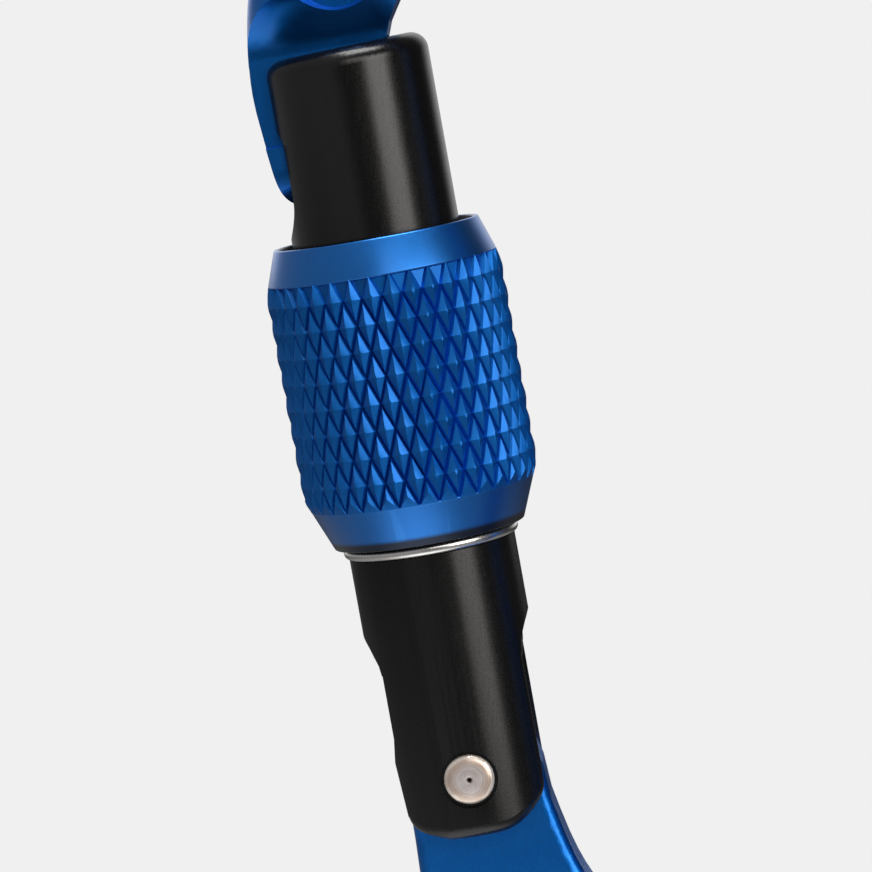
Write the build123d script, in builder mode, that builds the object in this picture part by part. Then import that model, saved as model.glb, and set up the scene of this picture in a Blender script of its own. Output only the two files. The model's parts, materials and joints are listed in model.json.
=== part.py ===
"""Screw-lock carabiner: forged pear-shaped frame, hinged tube gate, knurled locking sleeve.

Row frame: carabiner plane is XZ, wide end up (+Z), spine towards +X, gate towards -X, thickness
along Y. All sketches for the gate line use w (inwards, square to the gate) and u (up the gate)
measured from the hinge axis.
"""
import math
import os

from build123d import *

os.makedirs("parts", exist_ok=True)

# ---------------------------------------------------------------- driving dimensions (mm, deg)
lean = 10.14                 # gate line leans outwards at the top
pivot_x = -19.774             # hinge axis in the row frame
pivot_z = -31.5

bar_w = 11.0                 # frame section in the carabiner plane
bar_t = 11.4                 # frame section across it
bar_round = 4.0              # rounding of the rope-bearing edges
web_t = 4.8                  # web left between the two flutes
flute_floor = 5.6
flute_mouth = 7.0

nose_w = -0.95               # frame centreline where it starts at the nose
nose_u = 47.5
corner_r = 22.0
corner_a = 40.0
crown_r = 40.0
crown_a = 57.66
far_r = 22.0
far_a = 104.48
spine_len = 60.46
heel_r = 18.0
heel_a = 153.86

gate_r = 5.75                # gate tube
gate_top = 50.1
top_slope = 0.035
top_round = 1.2
nose_low = 49.75             # underside of the nose, let into the gate top
nose_w_in = 3.0              # inner corner of the nose
recess_floor = 49.4          # shallow recess in the gate top that takes the nose
recess_w_in = 3.6
slot_floor_w = -1.1          # bottom of the key slot in the gate
slot_neck = 2.4
slot_bulb = 3.0
slot_bulb_u = 40.75
key_gap = 0.1
key_neck = 2.1
key_bulb = 2.6
key_tip_u = 40.12
key_step_u = 44.2

tang_t = 5.0                 # frame tang between the ears
fork_t = 5.3                 # slot between the gate's ears
fork_roof = 7.2
ear_left = -4.72
ear_right = 4.86
ear_bottom = -4.1
ear_round = 0.9             # outer rounding of the ears' lower edge
thin_end_u = -11.0           # the frame is tang-thin from here to the hinge

rivet_r = 1.5
rivet_head_r = 1.71
rivet_seat_r = 1.95
rivet_seat = 5.4             # seat of the head, from the mid plane
rivet_edge = 5.62
rivet_end = 5.86
tang_bore_r = 1.56
tang_round = 0.8

cam_flat = 4.5               # tang top, where the plunger rests
cam_base = 2.0               # plunger travel per radian of gate swing
swing_max = 27.0
plunger_r = 2.35
plunger_gap = 0.05
plunger_back = 12.0
plunger_bore_r = 2.41
plunger_stop = 13.0          # step in the bore that ends the opening
spigot_r = 1.15
spigot_top = 15.0
spring_bore_r = 2.15
spring_bore_top = 28.0
spring_r = 1.75              # mean coil radius
spring_wire_r = 0.28
spring_turns = 9

sleeve_low = 16.38
sleeve_high = 37.29
sleeve_low_r = 6.6
sleeve_high_r = 7.09
sleeve_crest_r = 8.16
knurl_low = 19.9
knurl_high = 34.6
knurl_edge_r = 7.9
thread_land_r = 5.83
thread_top = 24.0
sleeve_bore_r = 6.63

ring_u = 15.96
ring_r = 5.68
ring_wire_r = 0.38
groove_wire_r = 0.43
ring_gap_deg = 14.0

# ------------------------------------------------------------------------------- work planes
cos_l = math.cos(math.radians(lean))
sin_l = math.sin(math.radians(lean))
pivot = Vector(pivot_x, 0, pivot_z)
inwards = Vector(cos_l, 0, sin_l)
upwards = Vector(-sin_l, 0, cos_l)
gate_axis = Axis(pivot, upwards)

side = Plane(origin=pivot, x_dir=inwards, z_dir=(0, -1, 0))     # local x = w, local y = u
front = Plane(origin=pivot, x_dir=(0, 1, 0), z_dir=inwards)     # local x = Y, local y = u


def across(u):
    """Plane square to the gate line at height u, local x = w, local y = Y."""
    return Plane(origin=pivot + upwards * u, x_dir=inwards, z_dir=upwards)


def follow(x, y, heading, steps):
    """Start, middle and end of each step: a clockwise arc (radius, angle) or a straight (length, 0)."""
    out = []
    for size, angle in steps:
        first = (x, y)
        if angle == 0:
            mid = None
            x += size * math.cos(heading)
            y += size * math.sin(heading)
        else:
            cx = x + size * math.sin(heading)
            cy = y - size * math.cos(heading)
            half = heading + math.pi / 2 - math.radians(angle) / 2
            mid = (cx + size * math.cos(half), cy + size * math.sin(half))
            heading -= math.radians(angle)
            x = cx + size * math.cos(heading + math.pi / 2)
            y = cy + size * math.sin(heading + math.pi / 2)
        out.append((first, mid, (x, y)))
    return out, heading


frame_steps = [(corner_r, corner_a), (crown_r, crown_a), (far_r, far_a), (spine_len, 0), (heel_r, heel_a)]
frame_path, heel_heading = follow(nose_w, nose_u, math.pi / 2, frame_steps)

flute_skip = 21.5            # degrees of the first corner left solid behind the nose
flute_stop = 50.0            # degrees of the heel left solid before the tang
skip_path, skip_heading = follow(nose_w, nose_u, math.pi / 2, [(corner_r, flute_skip)])
flute_start = skip_path[0][2]
flute_steps = [(corner_r, corner_a - flute_skip)] + frame_steps[1:-1] + [(heel_r, heel_a - flute_stop)]
flute_path, stop_heading = follow(flute_start[0], flute_start[1], skip_heading, flute_steps)
flute_finish = flute_path[-1][2]


# -------------------------------------------------------------------------------------- body
def on_side(point):
    """A point given as (w, u) in row coordinates."""
    return pivot + inwards * point[0] + upwards * point[1]


with BuildLine(side) as frame_line:
    for first, mid, last in frame_path:
        if mid is None:
            Line(first, last)
        else:
            ThreePointArc(first, mid, last)

with BuildLine(side) as flute_line:
    for first, mid, last in flute_path:
        if mid is None:
            Line(first, last)
        else:
            ThreePointArc(first, mid, last)

nose_plane = Plane(origin=on_side((nose_w, nose_u)), x_dir=inwards, z_dir=upwards)
flute_dir = inwards * math.cos(skip_heading) + upwards * math.sin(skip_heading)
flute_side = inwards * math.sin(skip_heading) - upwards * math.cos(skip_heading)
flute_plane = Plane(origin=on_side(flute_start), x_dir=flute_side, z_dir=flute_dir)

involute = []
for i in range(9):
    turn = math.radians(i * (swing_max + 3.0) / 8)
    reach = cam_flat + cam_base * turn
    w_pt = reach * math.sin(turn) + cam_base * math.cos(turn)
    u_pt = reach * math.cos(turn) - cam_base * math.sin(turn)
    involute.append((w_pt, u_pt))

with BuildPart() as bar:
    # forged bar with rounded rope-bearing edges
    with BuildSketch(nose_plane):
        RectangleRounded(bar_w, bar_t, bar_round)
    sweep(path=frame_line.wire())
    # flutes in both faces
    with BuildSketch(flute_plane):
        with BuildLine():
            Polyline(
                (-flute_floor / 2, web_t / 2),
                (flute_floor / 2, web_t / 2),
                (flute_mouth / 2, bar_t / 2 + 0.5),
                (-flute_mouth / 2, bar_t / 2 + 0.5),
                close=True,
            )
        make_face()
        mirror(about=Plane.XZ)
    sweep(path=flute_line.wire(), mode=Mode.SUBTRACT)
    # rounded ends of each flute
    for spot in (flute_start, flute_finish):
        for sign in (-1, 1):
            pocket = Plane(origin=on_side(spot) + Vector(0, sign * web_t / 2, 0), z_dir=(0, sign, 0))
            with BuildSketch(pocket):
                Circle(flute_floor / 2)
            with BuildSketch(pocket.offset((bar_t - web_t) / 2 + 0.5)):
                Circle(flute_mouth / 2)
            loft(mode=Mode.SUBTRACT)
    # nose: underside over the gate top, and relieved inner corner
    with BuildSketch(side):
        with BuildLine():
            Polyline(
                (-9, 44.0),
                (9, 44.0),
                (9, 50.6 + 6.2),
                (6.9, 50.3 + 6.4),
                (nose_w_in + 0.55, nose_low + 1.5),
                (nose_w_in, nose_low),
                (-9, nose_low),
                close=True,
            )
        make_face()
    extrude(amount=10, both=True, mode=Mode.SUBTRACT)
    # nose: both faces sweep in to the thickness of the key
    for sign in (-1, 1):
        with BuildSketch(front):
            with BuildLine():
                Line((sign * key_neck, 44), (sign * key_neck, 50.2))
                Spline(
                    (sign * key_neck, 50.2),
                    (sign * (key_neck + 0.45), 51.5),
                    (sign * (key_neck + 1.7), 53.0),
                    (sign * 6.2, 54.6),
                    tangents=[(0, 1), (sign * 1, 0.35)],
                )
                Polyline((sign * 6.2, 54.6), (sign * 9, 54.6), (sign * 9, 44), (sign * key_neck, 44))
            make_face()
        extrude(amount=14, both=True, mode=Mode.SUBTRACT)
    # heel: the bar stops where the tang starts, and both faces sweep in to its thickness
    with BuildSketch(front):
        with Locations((0, thin_end_u + 12)):
            Rectangle(13, 24)
    extrude(amount=11, both=True, mode=Mode.SUBTRACT)
    for sign in (-1, 1):
        with BuildSketch(front):
            with BuildLine():
                Line((sign * tang_t / 2, 5), (sign * tang_t / 2, thin_end_u + 0.6))
                Spline(
                    (sign * tang_t / 2, thin_end_u + 0.6),
                    (sign * (tang_t / 2 + 0.5), thin_end_u - 1.0),
                    (sign * (tang_t / 2 + 1.8), thin_end_u - 2.7),
                    (sign * 6.3, thin_end_u - 4.2),
                    tangents=[(0, -1), (sign * 1, -0.35)],
                )
                Polyline(
                    (sign * 6.3, thin_end_u - 4.2),
                    (sign * 9, thin_end_u - 4.2),
                    (sign * 9, 5),
                    (sign * tang_t / 2, 5),
                )
            make_face()
        extrude(amount=11, both=True, mode=Mode.SUBTRACT)

heel_w = flute_finish[0] + heel_r * math.sin(stop_heading)
heel_u = flute_finish[1] - heel_r * math.cos(stop_heading)
edge_in = heel_r - bar_w / 2 + 0.02
edge_out = heel_r + bar_w / 2 - 0.02


def heel_edge(radius, u):
    """Point on the heel's edge of that radius, at height u, on the hinge side."""
    return (heel_w - math.sqrt(radius**2 - (u - heel_u) ** 2), u)


with BuildPart() as tang:
    # thin end of the frame, from inside the bar to the cam face the plunger runs on
    with BuildSketch(side):
        with BuildLine():
            Polyline(involute[0], (-3.3, cam_flat), (-4.3, 3.4), (-4.55, 1.6), (-4.6, -2.6))
            Spline((-4.6, -2.6), (-4.7, -6.4), heel_edge(edge_out, -9.5), heel_edge(edge_out, -14))
            Line(heel_edge(edge_out, -14), heel_edge(edge_in, -14))
            Spline(
                heel_edge(edge_in, -14),
                heel_edge(edge_in, -11.5),
                heel_edge(edge_in, -8.8),
                (5.75, -5.8),
                (5.12, -2.7),
            )
            Polyline((5.12, -2.7), (4.97, -0.3), (4.6, 1.1), (4.5, 2.4), involute[-1])
            Spline(*involute)
        make_face()
    extrude(amount=tang_t / 2, both=True)
    flats = tang.faces().filter_by(Axis.Y)
    rims = flats.edges().filter_by(lambda e: -13 < (e.center() - pivot).dot(upwards) < 2.4)
    fillet(rims, radius=tang_round)

# key on the nose that drops into the gate's slot
with BuildPart() as key:
    with BuildSketch(front):
        with BuildLine():
            Polyline(
                (-key_neck, 52.0),
                (-key_neck, key_step_u + 0.12),
                (-key_bulb, key_step_u),
                (-key_bulb, key_tip_u + key_bulb),
            )
            ThreePointArc(
                (-key_bulb, key_tip_u + key_bulb),
                (0, key_tip_u),
                (key_bulb, key_tip_u + key_bulb),
            )
            Polyline(
                (key_bulb, key_tip_u + key_bulb),
                (key_bulb, key_step_u),
                (key_neck, key_step_u + 0.12),
                (key_neck, 52.0),
                (-key_neck, 52.0),
            )
        make_face()
    extrude(amount=8, both=True)
    with BuildSketch(side):
        with BuildLine():
            Line((slot_floor_w - key_gap, 38), (slot_floor_w - key_gap, 52.0))
            Line((slot_floor_w - key_gap, 52.0), (-6.0, 52.0))
            Spline(
                (-6.0, 52.0),
                (-6.33, 49.7),
                (-6.42, 47.5),
                (-6.24, 45.1),
                (-5.95, 42.4),
                (-5.5, 40.75),
                (-4.6, 39.9),
            )
            Line((-4.6, 39.9), (-4.6, 38))
            Line((-4.6, 38), (slot_floor_w - key_gap, 38))
        make_face()
    extrude(amount=8, both=True, mode=Mode.INTERSECT)

with BuildPart() as body_full:
    add(bar.part)
    add(tang.part)
    add(key.part)
    # hinge bore
    with BuildSketch(side):
        Circle(tang_bore_r)
    extrude(amount=6, both=True, mode=Mode.SUBTRACT)

# -------------------------------------------------------------------------------------- gate
with BuildPart() as gate:
    with BuildSketch(across(-6)):
        Circle(gate_r)
    extrude(amount=60)
    # slanted top with a rounded rim
    with BuildSketch(side):
        with BuildLine():
            Polyline(
                (-9, gate_top - 9 * top_slope),
                (9, gate_top + 9 * top_slope),
                (9, 60),
                (-9, 60),
                close=True,
            )
        make_face()
    extrude(amount=9, both=True, mode=Mode.SUBTRACT)
    fillet(gate.faces().sort_by(gate_axis)[-1].edges(), radius=top_round)
    # ears: flat sides, rounded lower corners, swept shoulders
    with BuildSketch(side):
        with Locations((0, -2.2)):
            Rectangle(16, 19.6)
        with BuildLine():
            Polyline((ear_left, 12), (ear_left, 3.2), (-4.96, 1.5), (-4.68, -2.3))
            Spline(
                (-4.68, -2.3), (-3.95, -3.4), (-2.4, -3.95), (-0.1, ear_bottom),
                tangents=[(0.2, -1), (1, 0.02)],
            )
            Spline(
                (-0.1, ear_bottom), (2.6, -3.85), (4.55, -2.3), (ear_right, -0.6),
                tangents=[(1, 0.02), (0, 1)],
            )
            Polyline((ear_right, -0.6), (ear_right, 12), (ear_left, 12))
        make_face(mode=Mode.SUBTRACT)
    extrude(amount=9, both=True, mode=Mode.SUBTRACT)
    low = gate.edges().filter_by(lambda e: (e.center() - pivot).dot(upwards) < -1.5)
    fillet(low, radius=ear_round)
    with BuildSketch(side):
        with BuildLine():
            Polyline(
                (-8, 7.3),
                (ear_left, 7.3),
                (ear_left - 0.15, 8.3),
                (-5.35, 9.5),
                (-5.9, 10.5),
                (-8, 10.5),
                close=True,
            )
        make_face()
        with BuildLine():
            Polyline(
                (8, 7.3),
                (ear_right, 7.3),
                (ear_right + 0.14, 8.5),
                (5.45, 9.5),
                (5.9, 10.4),
                (8, 10.4),
                close=True,
            )
        make_face()
    extrude(amount=9, both=True, mode=Mode.SUBTRACT)
    # fork slot for the tang
    with BuildSketch(side):
        with Locations((0, fork_roof - 10)):
            Rectangle(16, 20)
    extrude(amount=fork_t / 2, both=True, mode=Mode.SUBTRACT)
    # stepped bore for plunger and spring
    with BuildSketch(across(fork_roof - 1)):
        Circle(plunger_bore_r)
    extrude(amount=plunger_stop - fork_roof + 1, mode=Mode.SUBTRACT)
    with BuildSketch(across(plunger_stop - 0.5)):
        Circle(spring_bore_r)
    extrude(amount=spring_bore_top - plunger_stop + 0.5, mode=Mode.SUBTRACT)
    # keyhole slot, open at the top and on the outer side
    with BuildSketch(front):
        with BuildLine():
            Polyline(
                (-slot_neck, 56),
                (-slot_neck, key_step_u + 1.0),
                (-slot_bulb, key_step_u + 0.3),
                (-slot_bulb, slot_bulb_u),
            )
            ThreePointArc((-slot_bulb, slot_bulb_u), (0, slot_bulb_u - slot_bulb), (slot_bulb, slot_bulb_u))
            Polyline(
                (slot_bulb, slot_bulb_u),
                (slot_bulb, key_step_u + 0.3),
                (slot_neck, key_step_u + 1.0),
                (slot_neck, 56),
                (-slot_neck, 56),
            )
        make_face()
    extrude(amount=-12, mode=Mode.SUBTRACT)
    # shallow recess in the top that takes the underside of the nose
    with BuildSketch(side):
        with BuildLine():
            Polyline(
                (-9, recess_floor),
                (recess_w_in, recess_floor),
                (recess_w_in, 60),
                (-9, 60),
                close=True,
            )
        make_face()
    extrude(amount=slot_neck, both=True, mode=Mode.SUBTRACT)
    # groove for the stop ring
    with BuildSketch(side):
        with Locations((ring_r, ring_u)):
            Circle(groove_wire_r)
    revolve(axis=gate_axis, mode=Mode.SUBTRACT)
    # rivet hole with a shallow seat on each ear
    with BuildSketch(side):
        Circle(rivet_r)
    extrude(amount=8, both=True, mode=Mode.SUBTRACT)
    for sign in (-1, 1):
        with BuildSketch(Plane(origin=pivot + Vector(0, sign * rivet_seat, 0), z_dir=(0, sign, 0))):
            Circle(rivet_seat_r)
        extrude(amount=2, mode=Mode.SUBTRACT)

# ---------------------------------------------------------------------------- locking_sleeve
with BuildPart() as locking_sleeve:
    with BuildSketch(side):
        with BuildLine():
            Polyline(
                (thread_land_r + 0.3, sleeve_low),
                (sleeve_low_r, sleeve_low),
                (knurl_edge_r - 0.13, sleeve_low + 2.88),
                (sleeve_crest_r, knurl_low + 0.3),
                (sleeve_crest_r, knurl_high - 0.3),
                (knurl_edge_r + 0.05, knurl_high + 0.23),
                (sleeve_high_r, sleeve_high - 0.15),
                (sleeve_high_r - 0.1, sleeve_high),
                (sleeve_bore_r + 0.1, sleeve_high),
                (sleeve_bore_r, sleeve_high - 0.15),
                (sleeve_bore_r, thread_top + 0.8),
                (thread_land_r, thread_top),
                (thread_land_r, sleeve_low + 0.3),
                close=True,
            )
        make_face()
    revolve(axis=gate_axis)

# --------------------------------------------------------------------------------- stop_ring
with BuildPart() as stop_ring:
    with BuildSketch(side):
        with Locations((ring_r, ring_u)):
            Circle(ring_wire_r)
    revolve(axis=gate_axis)
    gap = 2 * ring_r * math.tan(math.radians(ring_gap_deg / 2))
    with BuildSketch(across(ring_u - 1)):
        with Locations((0, ring_r)):
            Rectangle(gap, 3)
    extrude(amount=2, mode=Mode.SUBTRACT)

# ------------------------------------------------------------------------------- hinge_rivet
with BuildPart() as hinge_rivet:
    with BuildSketch(side):
        Circle(rivet_r)
    extrude(amount=rivet_seat, both=True)
    for sign in (-1, 1):
        with BuildSketch(Plane(origin=pivot + Vector(0, sign * rivet_seat, 0), z_dir=(0, sign, 0))):
            Circle(rivet_head_r)
        extrude(amount=rivet_end - rivet_seat)
    rims = hinge_rivet.edges().group_by(Axis.Y)
    chamfer(rims[0] + rims[-1], length=rivet_end - rivet_edge, length2=0.9)

# ------------------------------------------------------------------------------------ plunger
with BuildPart() as plunger:
    with BuildSketch(across(cam_flat + plunger_gap)):
        Circle(plunger_r)
    extrude(amount=plunger_back - cam_flat - plunger_gap)
    with BuildSketch(across(plunger_back)):
        Circle(spigot_r)
    extrude(amount=spigot_top - plunger_back)
    chamfer(plunger.edges().group_by(gate_axis)[-1], length=0.3)

# ------------------------------------------------------------------------------- return_spring
spring_low = plunger_back + spring_wire_r + 0.03
spring_len = spring_bore_top - 2 * spring_wire_r - plunger_back - 0.08
coil_base = pivot + upwards * spring_low
with BuildPart() as return_spring:
    with BuildLine() as coil:
        Helix(
            pitch=spring_len / spring_turns,
            height=spring_len,
            radius=spring_r,
            center=coil_base,
            direction=upwards,
        )
    with BuildSketch(Plane(origin=coil.line @ 0, z_dir=coil.line % 0)):
        Circle(spring_wire_r)
    sweep(path=coil.line, is_frenet=True)

# ------------------------------------------------------------------------------------- export
body_full.part.label = "body"
gate.part.label = "gate"
locking_sleeve.part.label = "locking_sleeve"
stop_ring.part.label = "stop_ring"
hinge_rivet.part.label = "hinge_rivet"
plunger.part.label = "plunger"
return_spring.part.label = "return_spring"

export_step(body_full.part, "parts/body.step")
export_step(gate.part, "parts/gate.step")
export_step(locking_sleeve.part, "parts/locking_sleeve.step")
export_step(stop_ring.part, "parts/stop_ring.step")
export_step(hinge_rivet.part, "parts/hinge_rivet.step")
export_step(plunger.part, "parts/plunger.step")
export_step(return_spring.part, "parts/return_spring.step")

for name, shape in (
    ("body", body_full.part),
    ("gate", gate.part),
    ("locking_sleeve", locking_sleeve.part),
    ("stop_ring", stop_ring.part),
    ("hinge_rivet", hinge_rivet.part),
    ("plunger", plunger.part),
    ("return_spring", return_spring.part),
):
    box = shape.bounding_box()
    print(name, len(shape.solids()), round(shape.volume, 1), box.min, box.max)
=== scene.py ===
import bpy, bmesh, json, math, random
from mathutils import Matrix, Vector


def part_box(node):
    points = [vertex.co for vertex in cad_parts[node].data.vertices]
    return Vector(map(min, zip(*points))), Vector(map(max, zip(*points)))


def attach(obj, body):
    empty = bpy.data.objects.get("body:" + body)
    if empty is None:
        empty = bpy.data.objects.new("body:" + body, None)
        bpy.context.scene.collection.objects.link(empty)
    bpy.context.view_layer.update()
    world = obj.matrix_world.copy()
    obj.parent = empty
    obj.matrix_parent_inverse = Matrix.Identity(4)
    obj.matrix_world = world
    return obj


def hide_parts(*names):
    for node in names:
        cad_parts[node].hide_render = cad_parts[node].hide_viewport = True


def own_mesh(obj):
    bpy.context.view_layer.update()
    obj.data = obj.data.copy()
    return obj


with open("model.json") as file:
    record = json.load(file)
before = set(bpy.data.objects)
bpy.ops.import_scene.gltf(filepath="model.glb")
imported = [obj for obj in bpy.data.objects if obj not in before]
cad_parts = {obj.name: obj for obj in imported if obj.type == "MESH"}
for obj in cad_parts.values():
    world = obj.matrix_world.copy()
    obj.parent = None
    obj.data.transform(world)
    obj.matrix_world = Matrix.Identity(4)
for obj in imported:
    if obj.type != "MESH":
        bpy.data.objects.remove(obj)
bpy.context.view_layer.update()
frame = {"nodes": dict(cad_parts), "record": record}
MM = 0.001

# gate line: hinge axis, direction up the gate (u) and inwards across it (w)
joints = {j["name"]: j for j in frame["record"]["behaviour"]["joints"]}
PIV = Vector(joints["gate_swing"]["pos_m"])
U = Vector(joints["sleeve_turn"]["axis"]).normalized()
W = Vector((U.z, 0, -U.x))
Y = Vector((0, 1, 0))


def at(w, y, u):
    """Row position of a point given in mm along W, Y and U from the hinge axis."""
    return PIV + (W * w + Y * y + U * u) * MM


def polar(r, a, u):
    """Row position at radius r mm and angle a round the gate line, u mm up it."""
    return at(r * math.cos(a), r * math.sin(a), u)


def full_turn(segments):
    return [2 * math.pi * k / segments for k in range(segments)]


# ------------------------------------------------------------------ material nodes
class Tree:
    """Short helpers for the nodes of one tree."""

    def __init__(self, tree):
        self.tree = tree
        self.tree.nodes.clear()

    def add(self, kind, **values):
        """A new node; a value goes to the node's own setting of that name, or else to its input."""
        node = self.tree.nodes.new(kind)
        for key, value in values.items():
            if hasattr(node, key):
                setattr(node, key, value)
            else:
                node.inputs[key].default_value = value
        return node

    def link(self, a, b):
        self.tree.links.new(a, b)

    def calc(self, operation, a, b):
        node = self.add("ShaderNodeMath", operation=operation)
        self.link(a, node.inputs[0])
        self.link(b, node.inputs[1])
        return node.outputs[0]

    def remap(self, value, low, high, to_low, to_high, curve="LINEAR"):
        node = self.add("ShaderNodeMapRange", interpolation_type=curve)
        for name, number in (
            ("From Min", low), ("From Max", high), ("To Min", to_low), ("To Max", to_high),
        ):
            node.inputs[name].default_value = number
        self.link(value, node.inputs["Value"])
        return node.outputs[0]

    def camera_ray(self):
        return self.add("ShaderNodeLightPath").outputs["Is Camera Ray"]


class Paint(Tree):
    """A material with one Principled shader."""

    def __init__(self, name):
        self.mat = bpy.data.materials.new(name)
        self.mat.use_nodes = True
        super().__init__(self.mat.node_tree)
        out = self.add("ShaderNodeOutputMaterial")
        self.bsdf = self.add("ShaderNodeBsdfPrincipled")
        self.link(self.bsdf.outputs[0], out.inputs[0])
        self.object = self.add("ShaderNodeTexCoord").outputs["Object"]

    def noise(self, scale, detail=3.0, rough=0.5, vector=None):
        node = self.add("ShaderNodeTexNoise", Scale=scale, Detail=detail, Roughness=rough)
        self.link(vector or self.object, node.inputs["Vector"])
        return node.outputs["Fac"]

    def stretched(self, along, across):
        """Object coordinates squeezed so that a noise runs as fine lines along the gate line."""
        turn = self.add("ShaderNodeMapping")
        turn.inputs["Rotation"].default_value = (0, -math.atan2(-U.x, U.z), 0)
        turn.inputs["Scale"].default_value = (across, across, along)
        self.link(self.object, turn.inputs["Vector"])
        return turn.outputs[0]

    def mix(self, factor, a, b):
        node = self.add("ShaderNodeMix", data_type="RGBA")
        self.link(factor, node.inputs[0])
        for socket, value in ((node.inputs[6], a), (node.inputs[7], b)):
            if isinstance(value, tuple):
                socket.default_value = (*value, 1)
            else:
                self.link(value, socket)
        return node.outputs[2]

    def vector(self, operation, a, b=None):
        """A vector operation on a link and, where it needs one, a fixed second value."""
        node = self.add("ShaderNodeVectorMath", operation=operation)
        self.link(a, node.inputs[0])
        if b is not None:
            node.inputs[1].default_value = b
        return node.outputs["Value" if operation == "LENGTH" else 0]

    def from_hinge(self):
        """Object position from the hinge axis."""
        return self.vector("SUBTRACT", self.object, PIV)

    def off_axis(self):
        """Distance from the gate line."""
        return self.vector("LENGTH", self.vector("CROSS_PRODUCT", self.from_hinge(), U))

    def edge(self, low, high):
        """0 to 1 over a range of pointiness: 0.5 on flat faces, less in cuts, more on edges."""
        point = self.add("ShaderNodeNewGeometry").outputs["Pointiness"]
        return self.remap(point, low, high, 0.0, 1.0)

    def bump(self, height, strength, distance):
        node = self.add("ShaderNodeBump", Strength=strength, Distance=distance)
        self.link(height, node.inputs["Height"])
        self.link(node.outputs[0], self.bsdf.inputs["Normal"])


def scaled(colour, by, plus=0.0):
    return tuple(min(1, c * by + plus) for c in colour)


BORE_SOFT = 0.00012          # m, over which the painted shade of the bore fades in
GRAIN_DEPTH = 0.000015       # m


def anodised(name, deep, bright, rough, metallic=0.98, grain=9000, coat=0.0, coat_rough=0.3,
             wear=0.2, relief=0.25, groove_shade=0.0, bore_shade_radius=0.0):
    """Dyed anodised aluminium: blasted grain, faint drawn lines, slow colour drift, polished edges.

    The groove shade paints shade into the bottoms of cuts, and the bore shade radius (in m) paints
    shade over what lies inside it.
    """
    n = Paint(name)
    drift = n.noise(120, 2)
    fine = n.noise(grain, 3, 0.6)
    lines = n.noise(1, 2, 0.5, n.stretched(400, 6000))
    colour = n.mix(n.remap(drift, 0.3, 0.7, 0, 1), deep, bright)
    speck = n.mix(n.remap(fine, 0.35, 0.75, 0, 0.35), colour, scaled(bright, 1.35, 0.002))
    paint = n.mix(n.remap(n.edge(0.52, 0.6), 0, 1, 0, wear), speck, scaled(bright, 1.6, 0.03))
    # painted shade: near-black colour over everything inside the bore radius
    if bore_shade_radius:
        outside = n.remap(n.off_axis(), bore_shade_radius, bore_shade_radius + BORE_SOFT, 0, 1)
        paint = n.mix(outside, scaled(deep, 0.06), paint)
    # painted shade in the bottoms of the cuts
    if groove_shade:
        paint = n.mix(n.edge(0.435, 0.492), scaled(deep, 1 - groove_shade), paint)
    n.link(paint, n.bsdf.inputs["Base Color"])
    blast = n.remap(fine, 0.3, 0.7, rough - 0.04, rough + 0.04)
    n.link(n.calc("ADD", blast, n.remap(lines, 0.3, 0.7, -0.02, 0.02)), n.bsdf.inputs["Roughness"])
    n.bsdf.inputs["Metallic"].default_value = metallic
    n.bsdf.inputs["Coat Weight"].default_value = coat
    n.bsdf.inputs["Coat Roughness"].default_value = coat_rough
    n.bump(n.calc("ADD", fine, n.remap(lines, 0, 1, 0, 0.5)), relief, GRAIN_DEPTH)
    return n.mat


def bare_steel(name, dark, light, rough, scale, strength):
    """Polished or turned stainless steel with light handling marks."""
    n = Paint(name)
    patch = n.noise(scale, 4, 0.6)
    fine = n.noise(scale * 8, 2)
    n.link(n.mix(n.remap(patch, 0.3, 0.7, 0, 1), dark, light), n.bsdf.inputs["Base Color"])
    n.link(n.remap(fine, 0.3, 0.7, rough - 0.05, rough + 0.07), n.bsdf.inputs["Roughness"])
    n.bsdf.inputs["Metallic"].default_value = 1.0
    n.bump(patch, strength, 0.00004)
    return n.mat


def turned_steel(name, dark, light, rough):
    """Rivet heads: fine rings left by peening, warm bright steel."""
    n = Paint(name)
    radius = n.vector("LENGTH", n.vector("MULTIPLY", n.from_hinge(), (1, 0, 1)))
    rings = n.add("ShaderNodeTexNoise", noise_dimensions="1D", Scale=9000, Detail=2)
    n.link(radius, rings.inputs["W"])
    patch = n.noise(1500, 4, 0.6)
    face = n.mix(n.remap(patch, 0.35, 0.65, 0, 1), dark, light)
    uneven = n.calc("ADD", radius, n.remap(n.noise(1200, 2), 0.3, 0.7, -0.0001, 0.0001))
    # from the centre outwards: painted shade in the centre dimple, plain face, tempering tint round
    # the crown, bright rim
    tint = n.mix(n.remap(uneven, 0.0008, 0.00125, 0, 0.75), face, (0.62, 0.46, 0.35))
    rim = n.mix(n.remap(uneven, 0.0014, 0.00158, 0, 1), tint, (0.95, 0.85, 0.76))
    dimple_shade = n.mix(n.remap(uneven, 0.0001, 0.00028, 0, 1), (0.04, 0.035, 0.03), rim)
    n.link(dimple_shade, n.bsdf.inputs["Base Color"])
    turned_rough = n.remap(rings.outputs["Fac"], 0.3, 0.7, rough - 0.05, rough + 0.06)
    n.link(turned_rough, n.bsdf.inputs["Roughness"])
    n.bsdf.inputs["Metallic"].default_value = 0.6
    n.bump(n.calc("ADD", rings.outputs["Fac"], n.remap(patch, 0, 1, 0, 1.5)), 0.3, 0.00002)
    return n.mat


SLEEVE_BORE = 0.00676        # m, radius inside which the sleeve gets painted shade

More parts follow.
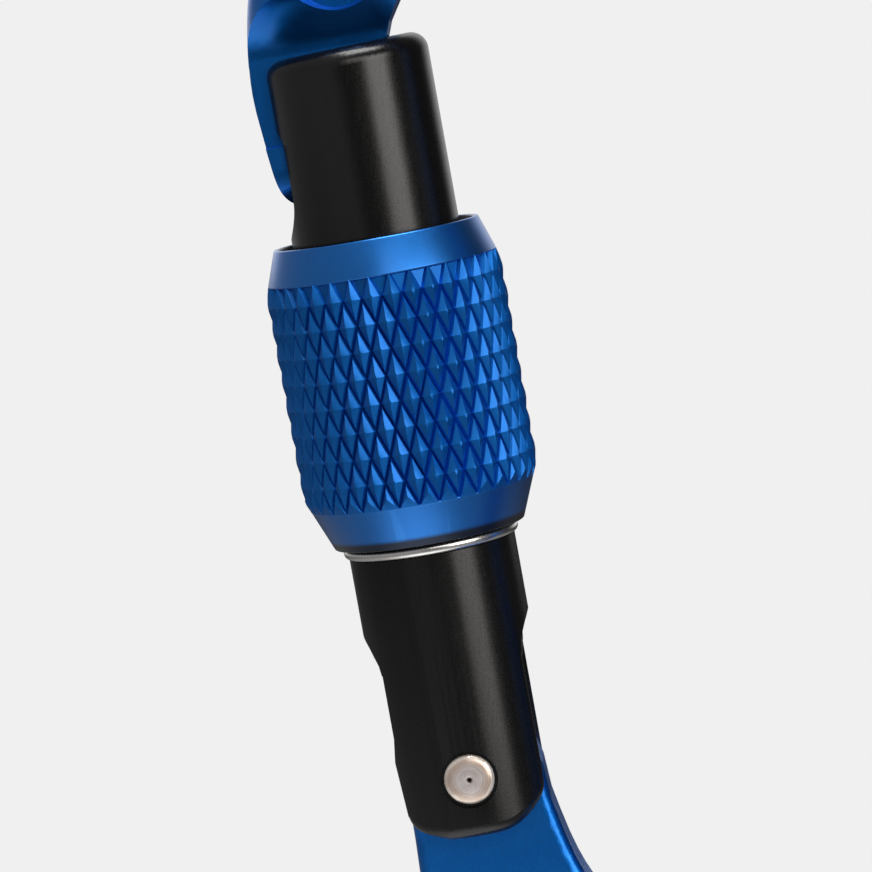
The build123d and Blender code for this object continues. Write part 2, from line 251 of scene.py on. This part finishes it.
blue = anodised("blue_frame", (0.0, 0.15, 0.57), (0.001, 0.17, 0.63), rough=0.36,
                coat=0.4, coat_rough=0.22, wear=0.25)
blue_sleeve = anodised("blue_sleeve", (0.0, 0.165, 0.60), (0.001, 0.185, 0.66), rough=0.35,
                       coat=0.8, coat_rough=0.30, wear=0.3, bore_shade_radius=SLEEVE_BORE)
# the knurl's blue is a darker copy of the sleeve's, painted shade that dims its facets; its rougher
# finish is its own
shaded_blue_knurl = anodised("shaded_blue_knurl", (0.0, 0.145, 0.53), (0.001, 0.16, 0.58), rough=0.50,
                      coat=0.35, coat_rough=0.34, wear=0.15, groove_shade=0.7)
black = anodised("black_gate", (0.0016, 0.0016, 0.0016), (0.0026, 0.0024, 0.0023),
                 rough=0.25, metallic=0.0, grain=8000, relief=0.10)
wire_steel = bare_steel("wire_ring", (0.80, 0.78, 0.75), (0.90, 0.88, 0.86), 0.26, 2500, 0.1)
spring_steel = bare_steel("spring_wire", (0.30, 0.30, 0.31), (0.42, 0.42, 0.43), 0.28, 3000, 0.2)
rivet_steel = turned_steel("rivet_steel", (0.86, 0.76, 0.74), (0.98, 0.92, 0.90), 0.27)

for name, mat in (
    ("body", blue),
    ("gate", black),
    ("locking_sleeve", blue_sleeve),
    ("stop_ring", wire_steel),
    ("hinge_rivet", rivet_steel),
    ("plunger", wire_steel),
    ("return_spring", spring_steel),
):
    node = frame["nodes"][name]
    node.data.materials.clear()
    node.data.materials.append(mat)


# ------------------------------------------------------------------ mesh helpers
def new_object(bm, name):
    bmesh.ops.recalc_face_normals(bm, faces=bm.faces)
    mesh = bpy.data.meshes.new(name)
    bm.to_mesh(mesh)
    bm.free()
    obj = bpy.data.objects.new(name, mesh)
    bpy.context.collection.objects.link(obj)
    return obj


SLEEVE_SEGMENTS = 256
TURNED_SEGMENTS = 96


def revolve(profile, segments, name):
    """Closed ring from (r, u) points in mm, turned round the gate line."""
    bm = bmesh.new()
    rings = []
    for a in full_turn(segments):
        rings.append([bm.verts.new(polar(r, a, u)) for r, u in profile])
    for k in range(segments):
        p, q = rings[k], rings[(k + 1) % segments]
        for i in range(len(profile)):
            j = (i + 1) % len(profile)
            bm.faces.new((p[i], q[i], q[j], p[j]))
    return new_object(bm, name)


def capped(rings, name):
    """Solid from a list of equal rings of points, capped at both ends."""
    bm = bmesh.new()
    rings = [[bm.verts.new(point) for point in ring] for ring in rings]
    count = len(rings[0])
    for p, q in zip(rings, rings[1:]):
        for k in range(count):
            j = (k + 1) % count
            bm.faces.new((p[k], p[j], q[j], q[k]))
    bm.faces.new(rings[0])
    bm.faces.new(rings[-1])
    return new_object(bm, name)


def arc(centre, r, start, end, steps):
    angles = [math.radians(start + (end - start) * i / steps) for i in range(steps + 1)]
    return [(centre[0] + r * math.cos(a), centre[1] + r * math.sin(a)) for a in angles]


def boolean(obj, other, how):
    mod = obj.modifiers.new("cut", "BOOLEAN")
    mod.operation = how
    mod.object = other
    mod.solver = "EXACT"
    graph = bpy.context.evaluated_depsgraph_get()
    mesh = bpy.data.meshes.new_from_object(obj.evaluated_get(graph))
    obj.modifiers.clear()
    obj.data = mesh
    bpy.data.objects.remove(other)
    return obj


def shade(obj, degrees, material):
    for face in obj.data.polygons:
        face.use_smooth = True
    obj.data.set_sharp_from_angle(angle=math.radians(degrees))
    obj.data.materials.clear()
    obj.data.materials.append(material)


def place(obj, body, node):
    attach(obj, body)
    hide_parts(node)


# ------------------------------------------------------------------ knurled sleeve
SLEEVE_LOW = 16.38
SLEEVE_HIGH = 37.29
KNURL_LOW = 19.2             # where the knurl runs out into the cone
KNURL_HIGH = 34.9            # and into the collar
KNURL_ROUND = 36
KNURL_PITCH = 1.78           # rows up the sleeve
KNURL_ROWS = 10
KNURL_TIP_R = 8.18           # the limiting band takes 0.04 mm off the tips
KNURL_IN_R = 6.9
# facet section from the tip (0) to the groove (1), with the drop in mm at each point
KNURL_SECTION = ((0.45, 0.135), (0.80, 0.29), (1.0, 0.56))
KNURL_PHASE = 0.61           # start of the pattern round the sleeve, in cells
KNURL_START = 17.49          # lowest row
TURN_JITTER = 0.025          # of a cell, either way
TIP_JITTER = 0.014           # mm, inwards


def knurl_ring(rows, r_in):
    """Ring of four-sided pyramids on a staggered lattice, as two crossed helical cuts leave them."""
    bm = bmesh.new()
    rng = random.Random(5)
    step = 2 * math.pi / KNURL_ROUND

    def stagger(j):
        return 0.5 if j % 2 else 0.0

    def lattice(cells, rows_up, r):
        a = (cells + KNURL_PHASE) * step
        return bm.verts.new(polar(r, a, KNURL_START + rows_up * KNURL_PITCH))

    def point(i, j, r):
        return lattice(i + stagger(j), j, r)

    root = KNURL_TIP_R - KNURL_SECTION[-1][1]
    grid = {(i, j): point(i, j, root) for j in range(rows + 1) for i in range(KNURL_ROUND)}
    ways = ((-0.5, 0), (0, 1), (0.5, 0), (0, -1))
    for j in range(1, rows):
        for i in range(KNURL_ROUND):
            right = (i + 1) % KNURL_ROUND
            over = i if j % 2 == 0 else right
            middle = i + 0.5 + stagger(j) + rng.uniform(-TURN_JITTER, TURN_JITTER)
            high = KNURL_TIP_R + rng.uniform(-TIP_JITTER, 0.0)
            tip = lattice(middle, j, high)
            ring = [tip] * 4
            for t, drop in KNURL_SECTION[:-1]:
                r = high - drop
                outer = [lattice(middle + turn * t, j + rise * t, r) for turn, rise in ways]
                for k in range(4):
                    m = (k + 1) % 4
                    facet = (ring[k], outer[k], outer[m])
                    bm.faces.new(facet if ring[k] is tip else (*facet, ring[m]))
                ring = outer
            corners = (grid[i, j], grid[over, j + 1], grid[right, j], grid[over, j - 1])
            for k in range(4):
                m = (k + 1) % 4
                bm.faces.new((ring[k], corners[k], corners[m], ring[m]))
    # zigzag ends, end walls and the inside
    for j, k in ((1, 0), (rows - 1, rows)):
        for i in range(KNURL_ROUND):
            over = i if j % 2 == 0 else (i + 1) % KNURL_ROUND
            bm.faces.new((grid[i, j], grid[(over - 1) % KNURL_ROUND, k], grid[over, k]))
    inner = {(i, j): point(i, j, r_in) for j in (0, rows) for i in range(KNURL_ROUND)}
    for i in range(KNURL_ROUND):
        right = (i + 1) % KNURL_ROUND
        for j in (0, rows):
            bm.faces.new((grid[i, j], grid[right, j], inner[right, j], inner[i, j]))
        bm.faces.new((inner[i, 0], inner[right, 0], inner[right, rows], inner[i, rows]))
    return new_object(bm, "sleeve_knurl")


knurl = knurl_ring(KNURL_ROWS, KNURL_IN_R)
# the knurl runs out into the cone below and the collar above
band = [(6.8, KNURL_LOW), (7.74, KNURL_LOW), (7.98, 19.75), (8.11, 20.25), (8.14, 20.7)]
band += [(8.14, 33.9), (8.09, 34.45), (7.90, KNURL_HIGH), (6.8, KNURL_HIGH)]
knurl = boolean(knurl, revolve(band, SLEEVE_SEGMENTS, "knurl_limit"), "INTERSECT")
shade(knurl, 13.5, shaded_blue_knurl)

shell_profile = [(6.18, SLEEVE_LOW)]
shell_profile += arc((6.50, SLEEVE_LOW + 0.12), 0.12, -90, -25, 4)
shell_profile += [(7.70, 19.12), (7.76, 19.24), (7.74, 19.30), (7.5, 19.4)]
shell_profile += [(7.5, 34.7), (7.84, 34.82), (7.88, 34.90), (7.86, 34.98)]
shell_profile += arc((6.96, SLEEVE_HIGH - 0.14), 0.14, 18, 90, 5)
shell_profile += arc((6.86, SLEEVE_HIGH - 0.12), 0.12, 90, 180, 4)
shell_profile += [(6.74, 36.2), (6.64, 35.6), (6.64, 24.8), (5.84, 24.0), (5.84, SLEEVE_LOW + 0.30)]
shell = revolve(shell_profile, SLEEVE_SEGMENTS, "sleeve_shell")
shade(shell, 24, blue_sleeve)
place(shell, "sleeve", "locking_sleeve")
place(knurl, "sleeve", "locking_sleeve")


# ------------------------------------------------------------------ hinge rivet
RIVET_SEAT = 5.4             # seat of each head, from the mid plane
RIVET_RADIUS = 1.5           # shank
RIVET_TILT = 0.006           # mm, unevenness left by the hammer
RIVET_CROWN = 5.6            # distance from the mid plane where the hammered crown begins
# peened head as (radius, distance from the mid plane), from its rim to its dimpled centre
RIVET_HEAD = [
    (1.71, 5.42), (1.71, 5.46), (1.69, 5.52), (1.62, 5.60), (1.49, 5.67), (1.30, 5.735),
    (1.05, 5.785), (0.78, 5.825), (0.50, 5.85), (0.30, 5.852), (0.19, 5.82), (0.12, 5.62),
    (0.04, 5.5),
]


def rivet():
    """Shank with a domed, centre-dimpled head at each end, turned about the hinge axis."""
    outline = [(r, -y) for r, y in reversed(RIVET_HEAD)]
    outline += [(RIVET_RADIUS, -RIVET_SEAT), (RIVET_RADIUS, RIVET_SEAT)] + RIVET_HEAD
    rng = random.Random(11)
    tilt = [rng.uniform(-RIVET_TILT, RIVET_TILT) for _ in range(3)]
    rings = []
    for r, y in outline:
        ring = []
        for a in full_turn(TURNED_SEGMENTS):
            on_crown = abs(y) > RIVET_CROWN
            push = sum(t * math.cos((m + 1) * a + m) for m, t in enumerate(tilt)) if on_crown else 0
            ring.append(at(r * math.cos(a), y + push * (1 if y < 0 else -1), r * math.sin(a)))
        rings.append(ring)
    return capped(rings, "rivet_domed")


pin = rivet()
shade(pin, 40, rivet_steel)
place(pin, "gate", "hinge_rivet")


# ------------------------------------------------------------------ plunger
# its shoulder stays just clear of the spring's last coil when the gate is open
PLUNGER_OUTLINE = [
    (2.30, 4.55), (2.35, 4.60), (2.35, 11.87), (2.30, 11.92),
    (1.15, 11.92), (1.15, 14.7), (0.85, 15.0),
]
follower = capped(
    [[polar(r, a, u) for a in full_turn(TURNED_SEGMENTS)] for r, u in PLUNGER_OUTLINE],
    "plunger_turned")
shade(follower, 30, wire_steel)
place(follower, "plunger", "plunger")

# the spring, as a copy of its mesh carried by the gate
wire = frame["nodes"]["return_spring"]
coil = bpy.data.objects.new("spring_coil", wire.data.copy())
coil.matrix_world = wire.matrix_world.copy()
bpy.context.collection.objects.link(coil)
place(coil, "gate", "return_spring")
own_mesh(coil)


# ------------------------------------------------------------------ stage
PALE = 0.871                 # backdrop and floor, as seen
FLOOR_GAP = 0.0005           # m, under the body
FLOOR_REACH = 3.0            # m, from its middle to each side
bm = bmesh.new()
bmesh.ops.create_grid(bm, x_segments=1, y_segments=1, size=FLOOR_REACH)
floor = new_object(bm, "floor")
floor.location = (0, 0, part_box("body")[0].z - FLOOR_GAP)
floor_paint = Paint("floor_paint")
floor_paint.bsdf.inputs["Base Color"].default_value = (0, 0, 0, 1)
floor_paint.bsdf.inputs["Specular IOR Level"].default_value = 0.0
floor_paint.bsdf.inputs["Emission Color"].default_value = (1, 1, 1, 1)
# evenly pale to look at; in reflections a painted pool of light, brightest in front of the hinge,
# with a painted glow to the left in place of a card
POOL_CENTRE = (-0.02, -0.02, 0)
POOL = ((0.012, 0.03, 1.0), (0.03, 0.17, 0.29))     # each from and to (m), and how bright inside
POOL_EDGE = 0.02
offset = floor_paint.vector("SUBTRACT", floor_paint.object, POOL_CENTRE)
reach = floor_paint.vector("LENGTH", offset)
apart = floor_paint.add("ShaderNodeSeparateXYZ")
floor_paint.link(offset, apart.inputs[0])
sideways = floor_paint.calc("DIVIDE", apart.outputs["X"], reach)
pool = floor_paint.calc("MULTIPLY", floor_paint.remap(reach, 0.16, 0.36, 0.0, 0.30),
                        floor_paint.remap(sideways, -0.3, -0.05, 1, 0))
for low, high, value in POOL:
    ring = floor_paint.remap(reach, low, high, value, POOL_EDGE)
    pool = floor_paint.calc("ADD", pool, ring)
glow = floor_paint.add("ShaderNodeMix", data_type="FLOAT")
floor_paint.link(floor_paint.camera_ray(), glow.inputs[0])
floor_paint.link(pool, glow.inputs[2])
glow.inputs[3].default_value = PALE
floor_paint.link(glow.outputs[0], floor_paint.bsdf.inputs["Emission Strength"])
floor.data.materials.append(floor_paint.mat)

world = bpy.data.worlds.new("studio")
bpy.context.scene.world = world
world.use_nodes = True
studio = Tree(world.node_tree)
# as the object sees it: bright card behind, dim card to the left, dark room that is paler overhead
split = studio.add("ShaderNodeSeparateXYZ")
studio.link(studio.add("ShaderNodeTexCoord").outputs["Generated"], split.inputs[0])
behind = studio.remap(split.outputs["Y"], 0.66, 0.92, 0.0, 1.0, "SMOOTHSTEP")
left = studio.remap(split.outputs["X"], -0.30, -0.05, 0.32, 0.0, "SMOOTHSTEP")
room = studio.remap(split.outputs["Z"], 0.0, 1.0, 0.015, 0.10, "SMOOTHSTEP")
around = studio.add("ShaderNodeBackground")
studio.link(studio.calc("ADD", studio.calc("ADD", behind, left), room), around.inputs["Strength"])
seen = studio.add("ShaderNodeBackground", Color=(1, 1, 1, 1), Strength=PALE)
choose = studio.add("ShaderNodeMixShader")
studio.link(studio.camera_ray(), choose.inputs[0])
studio.link(around.outputs[0], choose.inputs[1])
studio.link(seen.outputs[0], choose.inputs[2])
studio.link(choose.outputs[0], studio.add("ShaderNodeOutputWorld").inputs[0])

GATE_MIDDLE = at(0, 0, 27)   # where the lamps point


def look_at(obj, target):
    obj.rotation_euler = (target - obj.location).to_track_quat("-Z", "Y").to_euler()


def softbox(name, azimuth, elevation, distance, width, height, radiance, colour=(1, 1, 1)):
    """Rectangular light aimed at the gate; azimuth from the camera side, positive to the right."""
    a, e = math.radians(azimuth), math.radians(elevation)
    data = bpy.data.lights.new(name, "AREA")
    data.shape = "RECTANGLE"
    data.size, data.size_y = width, height
    data.energy = radiance * math.pi * width * height
    data.color = colour
    lamp = bpy.data.objects.new(name, data)
    bpy.context.collection.objects.link(lamp)
    lamp.location = GATE_MIDDLE + distance * Vector(
        (math.sin(a) * math.cos(e), -math.cos(a) * math.cos(e), math.sin(e)))
    look_at(lamp, GATE_MIDDLE)


WARM = (1.0, 0.955, 0.915)
softbox("key_low", 44, -18.5, 0.60, 0.33, 0.42, 3.9, WARM)
softbox("key_high", 44, 18, 0.60, 0.34, 0.30, 4.2, WARM)
softbox("key_side", 12, 27, 0.62, 0.30, 0.22, 2.0, WARM)
softbox("overhead", 25, 80, 0.60, 0.36, 0.36, 9.0)

# ------------------------------------------------------------------ camera
CAMERA_FROM = (8.249, -287.947, 54.391)      # mm from the hinge axis
CAMERA_TO = (-2.459, 0, 22.779)
LENS = 174.9                                 # mm, on a sensor 36 mm wide
camera_data = bpy.data.cameras.new("camera")
camera = bpy.data.objects.new("camera", camera_data)
bpy.context.collection.objects.link(camera)
bpy.context.scene.camera = camera
camera_data.sensor_width = 36
camera_data.lens = LENS
camera_data.clip_start = 0.01
camera_data.clip_end = 20
camera.location = PIV + Vector(CAMERA_FROM) * MM
look_at(camera, PIV + Vector(CAMERA_TO) * MM)
bpy.context.scene.view_settings.view_transform = "Standard"
